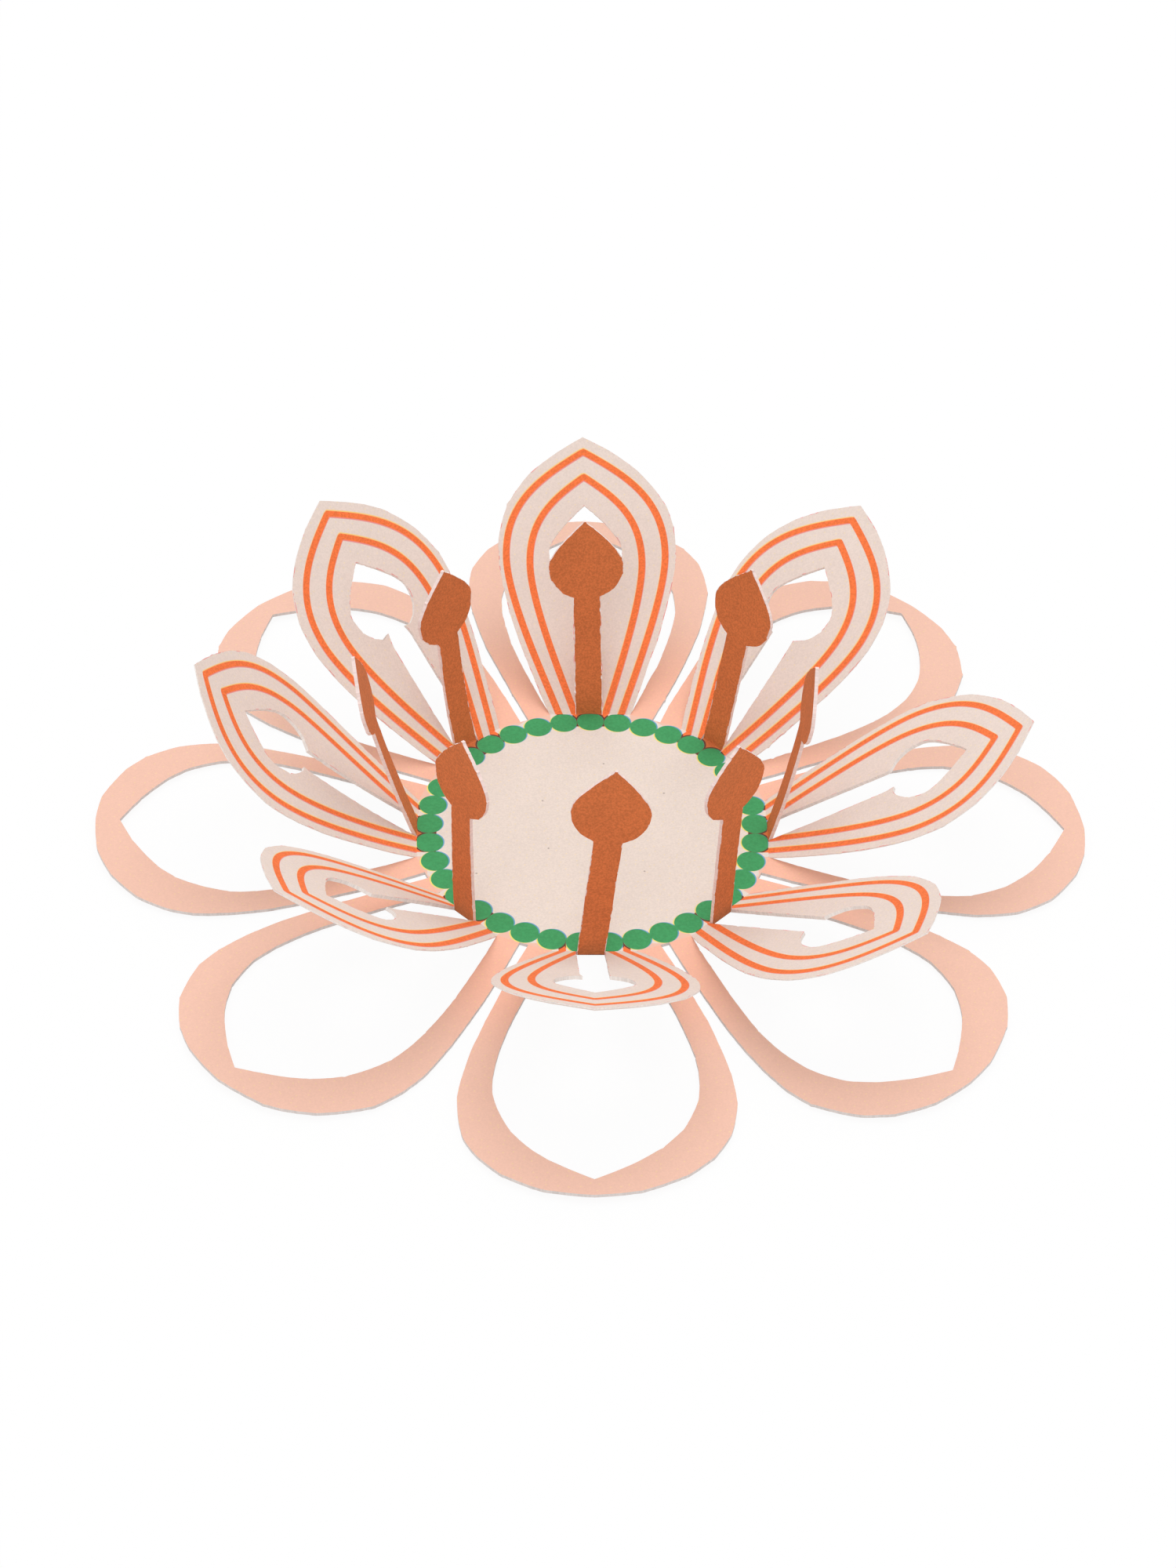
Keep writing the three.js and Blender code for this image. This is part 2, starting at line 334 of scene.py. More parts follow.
class Leaf:
    """The right half of a leaf outline, from its root to its tip on the middle line."""

    def __init__(self, root, widest, tip_at, shape, stem=None):
        swell, rise = widest - root
        crown = tip_at - widest.y
        self.stem = root if stem is None else stem
        self.stem_share = 0 if stem is None else NECK_SHARE
        self.side_share = shape["side"]
        self.root = root
        self.leave = root + Vector((shape["leave"][0] * swell, shape["leave"][1] * rise))
        self.arrive = widest - Vector((0, shape["arrive"] * rise))
        self.widest = widest
        self.shoulder = widest + Vector((0, shape["shoulder"] * crown))
        self.point = Vector((shape["point"][0] * widest.x, tip_at - shape["point"][1] * crown))
        self.tip = Vector((0, tip_at))

    def at(self, share):
        """The place at a share of the way from root to tip, with the stem first if it has one."""
        if share < self.stem_share:
            return self.stem.lerp(self.root, share / self.stem_share)
        if share < self.side_share:
            along = (share - self.stem_share) / (self.side_share - self.stem_share)
            return bezier(self.root, self.leave, self.arrive, self.widest, along)
        along = (share - self.side_share) / (1 - self.side_share)
        return bezier(self.widest, self.shoulder, self.point, self.tip, along)

    def outward(self, share):
        """The direction square to the outline, away from the middle line."""
        along = self.at(min(1, share + DIRECTION_STEP)) - self.at(max(0, share - DIRECTION_STEP))
        return Vector((along.y, -along.x)).normalized()


def slipped(slips, root, widest, tip_at, shape):
    """Both halves of a leaf outline, by side, each as far off the drawn one as the knife was."""
    left, right, tip = (slip * MM for slip in slips)
    return {
        side: Leaf(root, widest + Vector((slip, 0)), tip_at + tip, shape)
        for side, slip in ((-1, left), (1, right))
    }


class HandCut:
    """An outline as it was cut by hand, with nicks and ragged fibres.

    It runs in chords with uneven ends, which follow the drawn curve as far as the share says.
    """

    def __init__(self, leaves, chords, follow, wander, seed, gap=0):
        self.leaves = leaves
        self.follow = follow
        self.wander = wander
        self.seed = seed
        self.gap = gap
        self.knots = {side: self.chord_ends(side, chords) for side in leaves}

    def uneven(self, kind, along, side):
        """Noise from -1 to 1 along one side of the cut."""
        step, side_step, start = UNEVEN[kind]
        return noise.noise((along * step, side * side_step, self.seed + start))

    def chord_ends(self, side, chords):
        """The ends of the chords: share of the way, how far off the outline, place and nick."""
        ends = []
        for number in range(chords + 1):
            share, stray, nick = number / chords, 0, 0
            if 0 < number < chords:
                if share != NECK_SHARE:
                    share += CHORD_SHIFT / chords * self.uneven("chords", number, side)
                stray = self.wander * (0.5 + self.uneven("stray", number, side))
                nick = max(0, self.uneven("nicks", number, side))
            leaf = self.leaves[side]
            ends.append((share, stray, leaf.at(share) + leaf.outward(share) * stray, nick))
        return ends

    def at(self, share, side, away=0):
        """The cut's place on one side, moved away from the middle line by a share of the gap."""
        leaf, knots = self.leaves[side], self.knots[side]
        number = max(i for i in range(len(knots) - 1) if knots[i][0] <= share)
        (start, first_stray, first, nick), (end, last_stray, last, _) = knots[number : number + 2]
        along = (share - start) / (end - start)
        outward = leaf.outward(share)
        curve = leaf.at(share) + outward * (first_stray * (1 - along) + last_stray * along)
        fade = min(1, share / SMOOTH_SHARE, (1 - share) / SMOOTH_SHARE)
        fibre = fade * self.uneven("fibres", share, side)
        fibre += NICK_DEPTH * nick * max(0, 1 - (share - start) / NICK_SHARE)
        place = first.lerp(last, along).lerp(curve, self.follow)
        place += outward * (fibre * sizes().cut_fibre)
        root, tip = leaf.at(0), leaf.tip
        if share == 0:
            return Vector((side * (root.x + away * self.gap), root.y))
        if share == 1:
            return Vector((0, tip.y + away * self.gap))
        place += outward * (away * self.gap)
        return Vector((side * max(place.x, 0), max(place.y, root.y)))


def eased(share):
    """Shares that follow each other closely at the root, where the crease is."""
    if share < NECK_SHARE:
        along = share / NECK_SHARE
        return NECK_SHARE * along * (ROOT_PACE + (1 - ROOT_PACE) * along)
    return share


class Sector:
    """The cuts of one sector: its stamen, its petal and its loop."""

    def __init__(self, number):
        size = sizes()
        half_angle = SECTOR_ANGLE / 2
        slit = size.fold_radius - size.slit_depth
        loop_root = slit * math.tan(half_angle) - size.slit_width / 2 / math.cos(half_angle)
        self.number = number
        self.turn = Matrix.Rotation(-number * SECTOR_ANGLE, 2)
        self.burrs = {side: length * MM for sector, side, length in BURRS if sector == number}
        half_stem = size.stem_width / 2
        stamen = {
            side: Leaf(
                Vector((half_stem, size.neck_at)),
                Vector((size.head_width / 2, size.head_widest_at)),
                size.stamen_length,
                HEAD_SHAPE,
                stem=Vector((half_stem + side * STEM_SLIPS[number] * MM, 0)),
            )
            for side in (-1, 1)
        }
        petal = slipped(
            PETAL_SLIPS[number],
            Vector((size.petal_root_width / 2, 0)),
            Vector((size.petal_width / 2, size.petal_widest_at)),
            size.petal_length,
            PETAL_SHAPE,
        )
        loop = slipped(
            LOOP_SLIPS[number],
            Vector((loop_root, -size.slit_depth)),
            Vector((size.loop_width / 2, size.loop_widest_at)),
            size.loop_length,
            LOOP_SHAPE,
        )
        gap, wander = size.cut_gap / 2, size.cut_wander
        self.stamen_cut = HandCut(
            stamen, chords=15, follow=0.65, wander=wander * STAMEN_CARE, seed=number + 0.3, gap=gap
        )
        self.petal_cut = HandCut(
            petal, chords=11, follow=0.65, wander=wander, seed=number + 10.3, gap=gap
        )
        self.loop_cut = HandCut(loop, chords=11, follow=0.5, wander=wander, seed=number + 20.3)

    def on_petal(self, along, across):
        """A place on the petal: along from its left root (-1) round its tip to its right root."""
        share, side = eased(1 - abs(along)), math.copysign(1, along)
        inner = self.stamen_cut.at(share, side, 1)
        burr = self.burrs.get(side, 0) * max(0, 1 - abs(share - NECK_SHARE) / BURR_SHARE)
        sideways, outwards = BURR_WAY
        inner += Vector((sideways * side, outwards)) * burr
        return inner.lerp(self.petal_cut.at(share, side, -1), across)

    def on_loop(self, along, across):
        """A place on the loop, with along as on the petal."""
        share, side = eased(1 - abs(along)), math.copysign(1, along)
        return self.petal_cut.at(share, side, 1).lerp(self.loop_cut.at(share, side), across)

    def on_stamen(self, along, across):
        """A place on the stamen: along from its root to its tip, across from left to right."""
        share = eased(along)
        left, right = self.stamen_cut.at(share, -1, -1), self.stamen_cut.at(share, 1, -1)
        half_tip = sizes().stamen_tip_width / 2
        left.x, right.x = min(left.x, -half_tip), max(right.x, half_tip)
        return left.lerp(right, across)

    def rim(self):
        """This sector's part of the disc's rim, from left to right."""
        loop = [i / LOOP_CELLS for i in range(LOOP_CELLS + 1)]
        petal = [i / PETAL_CELLS for i in range(PETAL_CELLS + 1)]
        return [
            *(self.on_loop(-1, across) for across in reversed(loop)),
            *(self.on_petal(-1, across) for across in reversed(petal)),
            *(self.on_stamen(0, i / STAMEN_CELLS) for i in range(STAMEN_CELLS + 1)),
            *(self.on_petal(1, across) for across in petal),
            *(self.on_loop(1, across) for across in loop),
        ]

    def on_sheet(self, place):
        """A place of this sector on the whole flat sheet."""
        return self.turn @ (place + Vector((0, sizes().fold_radius)))

    def lying(self, place):
        """Where the printed side of a place on the loop lies, as the loop springs off the table."""
        size = sizes()
        spring = max(0, place.y / size.loop_length) ** LOOP_SPRING
        sway = LOOP_SWAY[self.number] * MM * spring
        x, y = self.on_sheet(place + Vector((sway, 0)))
        return Vector((x, y, size.card_thickness + size.loop_lift * spring))

    def folded(self, place, flap_set, length, setback):
        """Where the printed side of a place lies once its flap is folded up, outside the setback."""
        size = sizes()
        tilt, curl, lean, twist = (math.radians(angle) for angle in flap_set)
        t, s = place
        sideways = lean * min(1, s / size.lean_run)
        roll = twist * s / length
        reach = s * math.cos(lean) - t * math.sin(sideways) * math.cos(roll)
        across = s * math.sin(lean) + t * math.cos(sideways) * math.cos(roll)
        flat = min(reach, setback)
        bent = min((reach - flat) / size.crease_radius, tilt)
        run = reach - flat - bent * size.crease_radius
        half_curl = curl * run / length / 2
        chord = run * math.sin(half_curl) / half_curl if half_curl else run
        slope = bent + 2 * half_curl
        out = flat + size.crease_radius * math.sin(bent) + chord * math.cos(bent + half_curl)
        up = size.crease_radius * (1 - math.cos(bent)) + chord * math.sin(bent + half_curl)
        face = Vector((0, -math.sin(slope), math.cos(slope)))
        printed = face * math.cos(roll) - Vector((1, 0, 0)) * math.sin(roll)
        point = Vector((across, size.fold_radius + out, up)) + face * (t * math.sin(roll))
        point += printed * size.card_thickness
        return Matrix.Rotation(-self.number * SECTOR_ANGLE, 3, "Z") @ point


def stripe_lines():
    """The middle lines of a petal's two stripes, right half, as arrays of places."""
    lines = {}
    for stripe, (root, widest, widest_at, tip_at) in STRIPES.items():
        leaf = Leaf(
            Vector((root, 0)) * MM,
            Vector((widest, widest_at)) * MM,
            tip_at * MM,
            STRIPE_SHAPE,
        )
        points = [Vector((root, STRIPE_START)) * MM]
        points += [leaf.at(i / STRIPE_STEPS) for i in range(STRIPE_STEPS + 1)]
        lines[stripe] = np.array(points)
    return lines


def outside_of(line, places):
    """How far each place lies outside a line that bounds the right half of a leaf."""
    points = np.abs(places * [1, 0]) + places * [0, 1]
    nearest = np.full(len(points), np.inf)
    outside = np.zeros(len(points))
    for start, end in zip(line, line[1:]):
        run = end - start
        share = np.clip((points - start) @ run / (run @ run), 0, 1)
        off = points - start - share[:, None] * run
        distance = np.hypot(*off.T)
        closer = distance < nearest
        right = np.where(run[0] * off[:, 1] < run[1] * off[:, 0], 1, -1)
        nearest = np.where(closer, distance, nearest)
        outside = np.where(closer, right * distance, outside)
    return outside


class CardSheet:
    """The sheet while it is cut, printed and folded."""

    def __init__(self):
        self.bm = bmesh.new()
        self.uv = self.bm.loops.layers.uv.new("flat_card")
        self.stripes = {
            (stripe, ink): self.bm.verts.layers.float.new(f"{stripe}_stripe_{ink}")
            for stripe in STRIPES
            for ink in INKS
        }
        self.from_fold = self.bm.verts.layers.float.new("from_fold")
        self.from_cut = self.bm.verts.layers.float.new("from_cut")
        self.full = self.bm.verts.layers.deform.new()
        self.sectors = [Sector(number) for number in range(SECTORS)]
        self.flaps = []
        self.loops = []

    def cut(self):
        """Lays out every zone flat."""
        lines = stripe_lines()
        for sector in self.sectors:
            loop = self.cut_zone(sector, LOOP, LOOP_CELLS, 2 * HALF_STATIONS, sector.on_loop)
            petal = self.cut_zone(sector, PETAL, PETAL_CELLS, 2 * HALF_STATIONS, sector.on_petal)
            stamen = self.cut_zone(
                sector,
                STAMEN,
                STAMEN_CELLS,
                HALF_STATIONS,
                lambda along, across: sector.on_stamen((along + 1) / 2, across),
            )
            self.print_stripes(sector, petal, lines)
            self.loops.append((sector, loop))
            number = sector.number
            setback = STEM_SETBACKS[number] * MM
            self.flaps.append((sector, petal, PETAL_SET[number], sizes().petal_length, 0))
            self.flaps.append((sector, stamen, STAMEN_SET[number], sizes().stamen_length, setback))
        self.cut_disc()
        bm = self.bm
        bm.normal_update()
        bmesh.ops.reverse_faces(bm, faces=[face for face in bm.faces if face.normal.z < 0])

    def cut_zone(self, sector, zone, cells, stations, place_at):
        """A strip of cells, bent into a zone of the flat pattern. Returns its places by vertex."""
        strip = bmesh.ops.create_grid(self.bm, x_segments=cells, y_segments=stations, size=1)
        places = {}
        for vert in strip["verts"]:
            across = (vert.co.x + 1) / 2
            place = place_at(vert.co.y, across)
            inner, outer = place_at(vert.co.y, 0), place_at(vert.co.y, 1)
            places[vert] = place
            vert[self.from_fold] = place.y / MM
            vert[self.from_cut] = min(across, 1 - across) * (outer - inner).length / MM
            vert[self.full][0] = 0 if zone == PETAL and across > 1 - 0.5 / cells else 1
            vert.co.xy = sector.on_sheet(place)
        for face in {face for vert in places for face in vert.link_faces}:
            face.material_index = zone
        return places

    def cut_disc(self):
        """The disc, with its rim on the roots of the flaps and loops and a narrow ring inside it."""
        rim = [sector.on_sheet(place) for sector in self.sectors for place in sector.rim()]
        step = 2 * math.pi / len(rim)
        radius = 1
        fan = bmesh.ops.create_circle(
            self.bm, cap_ends=True, cap_tris=True, segments=len(rim), radius=radius
        )["verts"]
        edges = dict.fromkeys(edge for vert in fan for edge in vert.link_edges if edge.is_boundary)
        ring = bmesh.ops.extrude_edge_only(self.bm, edges=list(edges))["geom"]
        outer = [part for part in ring if isinstance(part, bmesh.types.BMVert)]
        for verts, share in ((fan, RING_SHARE), (outer, 1)):
            for vert in verts:
                vert[self.full][0] = 1
                if vert.co.length > radius / 2:
                    number = round(math.atan2(vert.co.x, vert.co.y) / step)
                    vert.co.xy = rim[number % len(rim)] * share
                for face in vert.link_faces:
                    face.material_index = DISC

    def print_stripes(self, sector, petal, lines):
        """How far each place of a petal lies from its stripes, for the two inks that shift apart."""
        places = np.array(list(petal.values()))
        for (stripe, ink), layer in self.stripes.items():
            shift = sector.turn.transposed() @ Vector(INKS[ink]) * sizes().print_shift
            outside = outside_of(lines[stripe], places - np.array(shift))
            for vert, distance in zip(petal, outside):
                vert[layer] = distance / MM

    def print_flat(self):
        """The print lies on the flat sheet, so the map is made before anything is folded."""
        span = sizes().sheet_span
        for face in self.bm.faces:
            for loop in face.loops:
                place = loop.vert.co
                loop[self.uv].uv = (place.x / span + 0.5, place.y / span + 0.5)

    def fold(self):
        """Folds the flaps up and joins every zone to its neighbours along the fold lines."""
        for vert in self.bm.verts:
            vert.co.z = sizes().card_thickness
        for sector, places in self.loops:
            for vert, place in places.items():
                vert.co = sector.lying(place)
        for sector, places, *fold in self.flaps:
            for vert, place in places.items():
                vert.co = sector.folded(place, *fold)
        bmesh.ops.remove_doubles(self.bm, verts=self.bm.verts, dist=JOIN_WITHIN * MM)

    def to_object(self, name):
        mesh = bpy.data.meshes.new(name)
        self.bm.to_mesh(mesh)
        self.bm.free()
        card = bpy.data.objects.new(name, mesh)
        bpy.context.scene.collection.objects.link(card)
        return card


# Shader maths


class Sock:
    """A shader socket that takes part in Python expressions."""

    def __init__(self, tree, socket=None):
        self.tree = tree
        self.socket = socket

    def node(self, kind, settings=(), values=(), output=0):
        """Any node: its settings are set first, then the values or links of its sockets."""
        made = self.tree.nodes.new(kind)
        for name, value in dict(settings).items():
            setattr(made, name, value)
        for name, value in dict(values).items():
            if isinstance(value, Sock):
                self.tree.links.new(value.socket, made.inputs[name])
            else:
                made.inputs[name].default_value = value
        return Sock(self.tree, made.outputs[output])

    def math(self, operation, first, second=0.0):
        return self.node("ShaderNodeMath", {"operation": operation}, {0: first, 1: second})

    def __add__(self, other):
        return self.math("ADD", self, other)

    def __radd__(self, other):
        return self.math("ADD", other, self)

    def __sub__(self, other):
        return self.math("SUBTRACT", self, other)

    def __rsub__(self, other):
        return self.math("SUBTRACT", other, self)

    def __mul__(self, other):
        return self.math("MULTIPLY", self, other)

    def __rmul__(self, other):
        return self.math("MULTIPLY", other, self)

    def __truediv__(self, other):
        return self.math("DIVIDE", self, other)

    def __rtruediv__(self, other):
        return self.math("DIVIDE", other, self)

    def __abs__(self):
        return self.math("ABSOLUTE", self)

    def most(self, other):
        return self.math("MAXIMUM", self, other)

    def fade(self, start, end, low=0.0, high=1.0):
        """Runs smoothly from low at start to high at end."""
        return self.node(
            "ShaderNodeMapRange",
            {"interpolation_type": "SMOOTHSTEP"},
            {"Value": self, "From Min": start, "From Max": end, "To Min": low, "To Max": high},
        )

    def above(self, limit, soft=SOFT):
        """1 above the limit and 0 below it, with a soft edge."""
        return self.fade(limit - soft, limit + soft)

    def below(self, limit, soft=SOFT):
        """1 below the limit and 0 above it, with a soft edge."""
        return self.fade(limit - soft, limit + soft, low=1.0, high=0.0)

    def moved(self, x, y, z=0.0):
        return self.node("ShaderNodeVectorMath", {"operation": "ADD"}, {0: self, 1: (x, y, z)})

    def scaled(self, factor):
        return self.node(
            "ShaderNodeVectorMath", {"operation": "SCALE"}, {"Vector": self, "Scale": factor}
        )

    def parts(self):
        apart = self.node("ShaderNodeSeparateXYZ", values={"Vector": self})
        outputs = apart.socket.node.outputs
        return Sock(self.tree, outputs["X"]), Sock(self.tree, outputs["Y"])

    def mixed(self, other, factor):
        """This colour, turning into another one where the factor is 1."""
        return self.node(
            "ShaderNodeMix", {"data_type": "RGBA"}, {0: factor, 6: self, 7: other}, output=2
        )


def rgba(colour):
    return (*colour, 1.0)


class Print:
    """The node tree of one finish of the card, with what is the same on all of them."""

    def __init__(self, name):
        self.material = bpy.data.materials.new(name)
        self.material.use_nodes = True
        self.tree = self.material.node_tree
        self.tree.nodes.clear()
        self.start = Sock(self.tree)
        uv = self.start.node("ShaderNodeUVMap", {"uv_map": "flat_card"})
        span = sizes().sheet_span / MM
        self.place = uv.moved(-0.5, -0.5).scaled(span)

    def attribute(self, name):
        return self.start.node("ShaderNodeAttribute", {"attribute_name": name}, output="Fac")

    def stripe(self, stripe, ink, half):
        """1 on one ink of a stripe of that half width."""
        return abs(self.attribute(f"{stripe}_stripe_{ink}")).below(half)

    def noise(self, kind):
        """The even noise of one grain, from 0 to 1."""
        size, detail, start, _ = GRAINS[kind]
        return self.start.node(
            "ShaderNodeTexNoise",
            {"noise_dimensions": "3D"},
            {
                "Vector": self.place.moved(start, start * GRAIN_SLANT, size * GRAIN_SLICE),
                "Scale": 1 / size,
                "Detail": detail,
                "Roughness": GRAIN_ROUGHNESS,
            },
        )

    def grain(self, kind, low, high):
        """The noise of one grain, stretched between two values."""
        reach = GRAINS[kind][-1]
        return self.noise(kind).fade(0.5 - reach, 0.5 + reach, low, high)

    def by_spoke(self, place, spokes):
        """A place in millimetres sideways of the nearest of so many spokes, and out along it."""
        x, y = place.parts()
        step = 2 * math.pi / spokes
        angle = self.start.math("ARCTAN2", x, y)
        off = angle - self.start.math("ROUND", angle / step) * step
        reach = self.start.math("SQRT", x * x + y * y)
        return reach * self.start.math("SINE", off), reach * self.start.math("COSINE", off)

    def from_bead(self, shift):
        """Distance from the middle of the nearest bead, with that shift, both in millimetres."""
        sideways, out = self.by_spoke(self.place.moved(-shift, -shift / 2), BEADS)
        off = out - sizes().bead_ring_radius / MM
        return self.start.math("SQRT", sideways * sideways + off * off)

    def printed_beads(self, colour, overlap=0.0):
        """The ring of beads over a colour, with yellow and blue edges where the inks miss.

        Their outline is dark where the overlap is 1, because it lies on other ink there.
        """
        tints = colours()
        radius, shift = sizes().bead_radius / MM, sizes().print_shift / MM
        yellow, blue = (self.from_bead(off).below(radius) for off in (-shift, shift))
        from_outline = abs(self.from_bead(0.0) - (radius + OUTLINE_OUT))
        outline = from_outline.fade(OUTLINE_HALF - SOFT, OUTLINE_HALF, low=1.0, high=0.0)
        green = self.plain(tints.green).scaled(self.grain("bead", 0.92, 1.08))
        colour = colour.mixed(rgba(tints.bead_yellow), yellow)
        colour = colour.mixed(rgba(tints.bead_blue), blue)
        colour = colour.mixed(green, yellow * blue)
        return colour.mixed(rgba(tints.dark_ink), outline * overlap)

    def plain(self, colour):
        """A colour that Vector Math can work on."""
        return self.start.node(
            "ShaderNodeCombineXYZ",
            values={"X": colour[0], "Y": colour[1], "Z": colour[2]},
        )

    def field(self, colour, strength):
        """A printed field: even colour with the fine grain of toner and soft wide blots."""
        soft = WIDE_STRENGTH * strength
        fine = self.grain("toner", 1 - strength, 1 + strength)
        return self.plain(colour).scaled(fine * self.grain("wide", 1 - soft, 1 + soft))

    def along_cut(self, colour, other, least, most):
        """A colour with another one along its cuts, in a strip of uneven width in millimetres."""
        width = self.grain("cut", least, most)
        strip = (width - self.attribute("from_cut")).above(0.0, soft=0.02)
        return colour.mixed(rgba(other), strip)

    def scattered(self, step, randomness, radius, strength):
        """Dots of one strength, so far apart, with their radius as a share of that step."""
        distance = self.start.node(
            "ShaderNodeTexVoronoi",
            {"voronoi_dimensions": "2D", "feature": "F1"},
            {"Vector": self.place, "Scale": MM / step, "Randomness": randomness},
            output="Distance",
        )
        return distance.fade(radius, 2 * radius, low=strength, high=0.0)

    def specks(self, colour):
        """Scattered tiny yellow specks of toner."""
        dots = self.scattered(sizes().speck_step, randomness=0.8, radius=0.05, strength=0.35)
        return colour.mixed(rgba(colours().speck), dots)

    def dust(self, colour):
        """A few dark specks, far apart."""
        dots = self.scattered(sizes().dust_step, randomness=1.0, radius=0.008, strength=0.7)
        return colour.mixed(rgba(colours().dust), dots)

    def finish(self, colour, roughness=0.78, bump=0.25):
        """The shader itself, with the paper's fine tooth."""
        shader = self.tree.nodes.new("ShaderNodeBsdfPrincipled")
        output = self.tree.nodes.new("ShaderNodeOutputMaterial")
        normal = self.start.node(
            "ShaderNodeBump",
            values={"Height": self.noise("tooth"), "Strength": bump, "Distance": TOOTH_DEPTH * MM},
        )
        rough = self.grain("tooth", roughness - TOOTH_ROUGHNESS, roughness + TOOTH_ROUGHNESS)
        self.tree.links.new(colour.socket, shader.inputs["Base Color"])
        self.tree.links.new(rough.socket, shader.inputs["Roughness"])
        self.tree.links.new(normal.socket, shader.inputs["Normal"])
        shader.inputs["Specular IOR Level"].default_value = SHEEN
        self.tree.links.new(shader.outputs[0], output.inputs["Surface"])
        return self.material


def disc_print():
    """Cream disc with its ring of green beads. The flaps' print runs on under the beads."""
    paper = Print("disc_print")
    tints = colours()
    sideways, out = paper.by_spoke(paper.place, SECTORS)
    side = abs(sideways)
    ring = sizes().bead_ring_radius / MM
    half_root = sizes().petal_root_width / MM / 2
    half_stem = sizes().stem_width / MM / 2
    half_stripe = sizes().stripe_width / MM / 2
    loop = side.above(half_root, ROOT_SOFT) * out.above(ring, FLAP_SOFT)
    flap = out.above(ring - FLAP_PRINT_INSIDE, FLAP_SOFT)
    stem = side.below(half_stem, ROOT_SOFT)
    overlap = stem
    colour = paper.dust(paper.specks(paper.field(tints.cream, 0.05)))
    colour = colour.mixed(rgba(tints.peach), loop)
    for root, *_ in STRIPES.values():
        stripe = abs(side - root).below(half_stripe, ROOT_SOFT)
        colour = colour.mixed(rgba(tints.orange), stripe * flap)
        overlap = overlap.most(stripe)
    colour = colour.mixed(rgba(tints.brown), stem * flap)
    return paper.finish(paper.printed_beads(colour, overlap * flap))


def petal_print():
    """Cream petal with two orange stripes, whose yellow and red miss each other a little."""
    paper = Print("petal_print")
    tints = colours()
    half = sizes().stripe_width / MM / 2
    yellow, red = (
        paper.stripe("outer", ink, half).most(paper.stripe("inner", ink, half)) for ink in INKS
    )
    root = paper.attribute("from_fold").fade(1.0, 10.0, low=0.6, high=0.0)
    colour = paper.field(tints.petal_cream, 0.05)
    colour = paper.specks(colour.mixed(paper.field(tints.deep_cream, 0.05), root))
    colour = colour.mixed(rgba(tints.stripe_yellow), yellow)
    colour = colour.mixed(rgba(tints.stripe_red), red)
    colour = colour.mixed(paper.field(tints.orange, 0.14), yellow * red)
    colour = paper.along_cut(colour, tints.stripe_red, least=-0.16, most=0.07)
    return paper.finish(paper.printed_beads(colour, yellow * red))


def loop_print():
    """Peach loop, with painted shade that deepens its colour towards its root, where the petals
    overhang it.
    """
    paper = Print("loop_print")
    # Painted shade of the petals, deepening the peach towards the loop's root
    root = paper.attribute("from_fold").fade(2.0, 13.0, low=0.8, high=0.0)
    colour = paper.field(colours().peach, 0.03).mixed(paper.field(colours().peach_root_shade, 0.03), root)
    return paper.finish(paper.printed_beads(paper.specks(colour)))


def stamen_print():
    """Brown stamen, with the dark outline of the beads at its root."""
    paper = Print("stamen_print")
    colour = paper.field(colours().brown, 0.16)
    colour = paper.along_cut(colour, colours().flaked, least=-0.12, most=0.07)
    return paper.finish(paper.printed_beads(colour, 1.0), roughness=0.72, bump=0.3)


def stamen_reverse():
    """The reverse of a stamen, with painted shade that darkens it towards its crease, and a dark line
    where the ink has cracked.
    """
    paper = Print("stamen_reverse")
    from_fold = paper.attribute("from_fold")
    # Painted shade: darker towards the crease
    shade = from_fold.fade(0.2, 2.2, low=0.76)
    colour = paper.field(colours().brown, 0.16).scaled(shade)
    colour = paper.along_cut(colour, colours().flaked, least=-0.12, most=0.07)
    ragged = paper.grain("crack", 0.02, 0.2)
    crack = (ragged - abs(from_fold - CRACK_AT)).above(0.0, soft=0.04) * 0.75
    colour = colour.mixed(rgba(colours().dark_ink), crack)
    return paper.finish(colour, roughness=0.72, bump=0.3)


def plain_side(name, colour):
    """The unseen side of a zone: one even field of ink."""
    paper = Print(name)
    return paper.finish(paper.field(colour, 0.03), roughness=0.8)


def raw_edge(name, colour):
    """Bare cut edge of the card."""
    paper = Print(name)
    return paper.finish(paper.field(colour, 0.08), roughness=0.9, bump=0.3)


class FLOWER_OT_fold_card(bpy.types.Operator):
    """Cut the flower from one sheet of card, print it and fold it up"""

    bl_idname = "flower.fold_card"
    bl_label = "Folded flower card"

    def execute(self, context):
        sheet = CardSheet()
        sheet.cut()
        sheet.print_flat()
        sheet.fold()
        card = sheet.to_object("folded_card")
        tints = colours()
        edge = raw_edge("raw_edge", tints.raw_card)
        # The petals' rims get a lighter copy of the bare card, as painted light
        petal_edge_painted_light = raw_edge("petal_edge_painted_light", tints.petal_edge_painted_light)
        # The stamens' rims: their own pinkish tint, lightened as painted light
        stamen_edge_tint_and_light = raw_edge("stamen_edge_tint_and_light", tints.stamen_edge_tint_and_light)
        cream_back = plain_side("cream_reverse", tints.petal_cream)
        peach_back = plain_side("peach_reverse", tints.peach)
        printed = (disc_print(), petal_print(), loop_print(), stamen_print())
        reverse = (cream_back, cream_back, peach_back, stamen_reverse())
        for material in (*printed, edge, petal_edge_painted_light, edge, stamen_edge_tint_and_light, *reverse):
            card.data.materials.append(material)
        wall = card.modifiers.new("card_thickness", "SOLIDIFY")
        wall.thickness = sizes().card_thickness
        wall.offset = -1
        wall.use_even_offset = True
        wall.vertex_group = card.vertex_groups.new(name="full_thickness").name
        wall.thickness_vertex_group = sizes().pressed_edge / sizes().card_thickness
        wall.material_offset_rim = len(printed)
        wall.material_offset = 2 * len(printed)
        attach(card, "root")
        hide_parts("flower_card")
        return {"FINISHED"}


